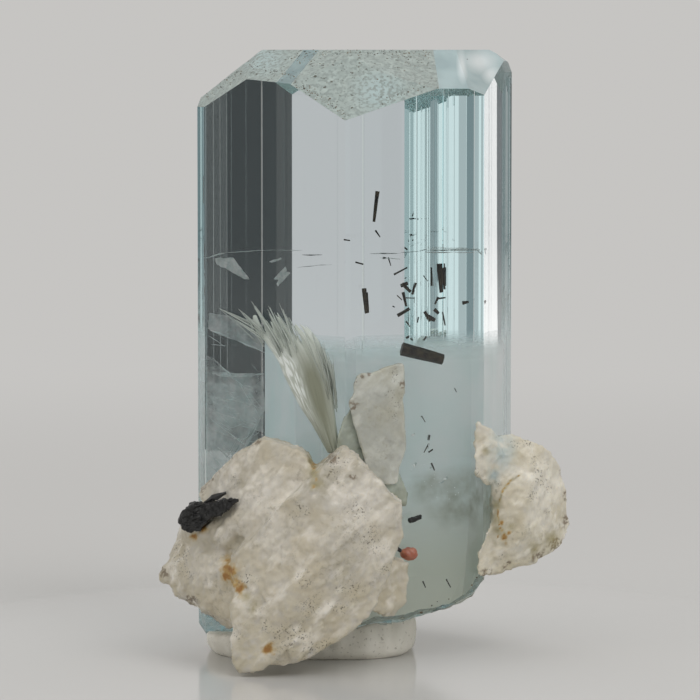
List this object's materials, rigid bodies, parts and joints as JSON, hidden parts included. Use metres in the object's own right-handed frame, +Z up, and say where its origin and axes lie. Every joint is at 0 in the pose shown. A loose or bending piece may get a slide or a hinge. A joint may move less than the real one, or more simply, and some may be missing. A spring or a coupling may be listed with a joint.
{
  "type": "aquamarine crystal",
  "caption": "Clear pale-blue six-sided beryl prism standing upright, with white albite, black schorl and a small garnet at its foot, on a pad of mineral tack.",
  "frame": {"origin": "centre of the object's footprint box, on the surface it stands on", "axes": "+Z up, along the crystal's length; -Y towards the front, where the albite is"},
  "size_m": [0.0322, 0.0312, 0.0476],
  "materials": {
    "aquamarine": "clear pale blue crystal, bright striated sides, etched top",
    "albite": "sugary white, matt, specked grey-brown",
    "albite_blade": "translucent white, matt",
    "fibrous_fan": "grey-green silky fibres",
    "schorl": "black, glossy and striated",
    "garnet": "orange-pink, glossy",
    "rod_inclusion": "dark brown, matt",
    "putty": "soft white, matt"
  },
  "bodies": {
    "root": {"aquamarine_crystal": "aquamarine", "albite_front": "albite", "albite_right": "albite", "albite_blade": "albite_blade", "feathered_blade": "fibrous_fan", "schorl_crystal": "schorl", "schorl_splinter_upper": "schorl", "schorl_splinter_lower": "schorl", "garnet": "garnet", "putty_pad": "putty"}
  },
  "joints": []
}
